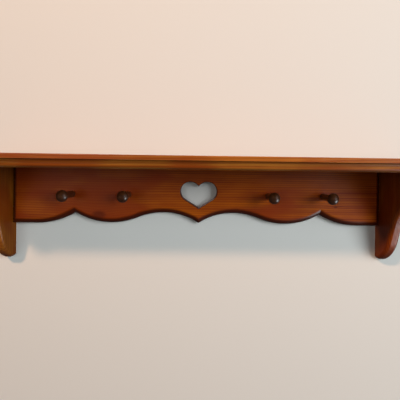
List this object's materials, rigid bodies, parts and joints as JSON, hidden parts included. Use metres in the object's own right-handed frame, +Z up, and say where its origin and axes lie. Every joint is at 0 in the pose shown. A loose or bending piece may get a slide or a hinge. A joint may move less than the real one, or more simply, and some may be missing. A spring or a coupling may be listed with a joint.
{
  "type": "wall shelf with brackets",
  "caption": "Country-style stained pine wall shelf: moulded top board on two curved side brackets, with a scalloped backboard that has a heart cut-out and turned pegs for hanging",
  "frame": {"origin": "on the wall plane, halfway along the shelf, level with the underside of the top board", "axes": "+X to the right seen from the room, +Y out of the back of the shelf into the wall, +Z up"},
  "size_m": [0.8, 0.184, 0.191],
  "materials": {
    "pine_top": "pine stained warm reddish brown under satin varnish, grain along the length, lighter on the worn front lip",
    "pine_back": "pine stained warm reddish brown under satin varnish, grain along the length, a few small knots",
    "pine_bracket": "pine stained warm brown under satin varnish, grain upright",
    "peg_wood": "turned hardwood stained dark brown, satin",
    "plug_wood": "round wooden plugs stained like the boards, cut flush",
    "screw_steel": "zinc-plated steel",
    "hanger_steel": "zinc-plated pressed steel"
  },
  "bodies": {
    "root": {"shelf_board": "pine_top", "backboard": "pine_back", "left_bracket": "pine_bracket", "right_bracket": "pine_bracket", "peg_outer_left": "peg_wood", "peg_inner_left": "peg_wood", "peg_inner_right": "peg_wood", "peg_outer_right": "peg_wood", "shelf_screws_left": "screw_steel", "shelf_screws_right": "screw_steel", "shelf_screws_back": "screw_steel", "side_screws_left": "screw_steel", "side_screws_right": "screw_steel", "hanger_screws_left": "screw_steel", "hanger_screws_right": "screw_steel", "shelf_plugs_left": "plug_wood", "shelf_plugs_right": "plug_wood", "shelf_plugs_back": "plug_wood", "side_plugs_left": "plug_wood", "side_plugs_right": "plug_wood", "hanger_left": "hanger_steel", "hanger_right": "hanger_steel"}
  },
  "joints": []
}
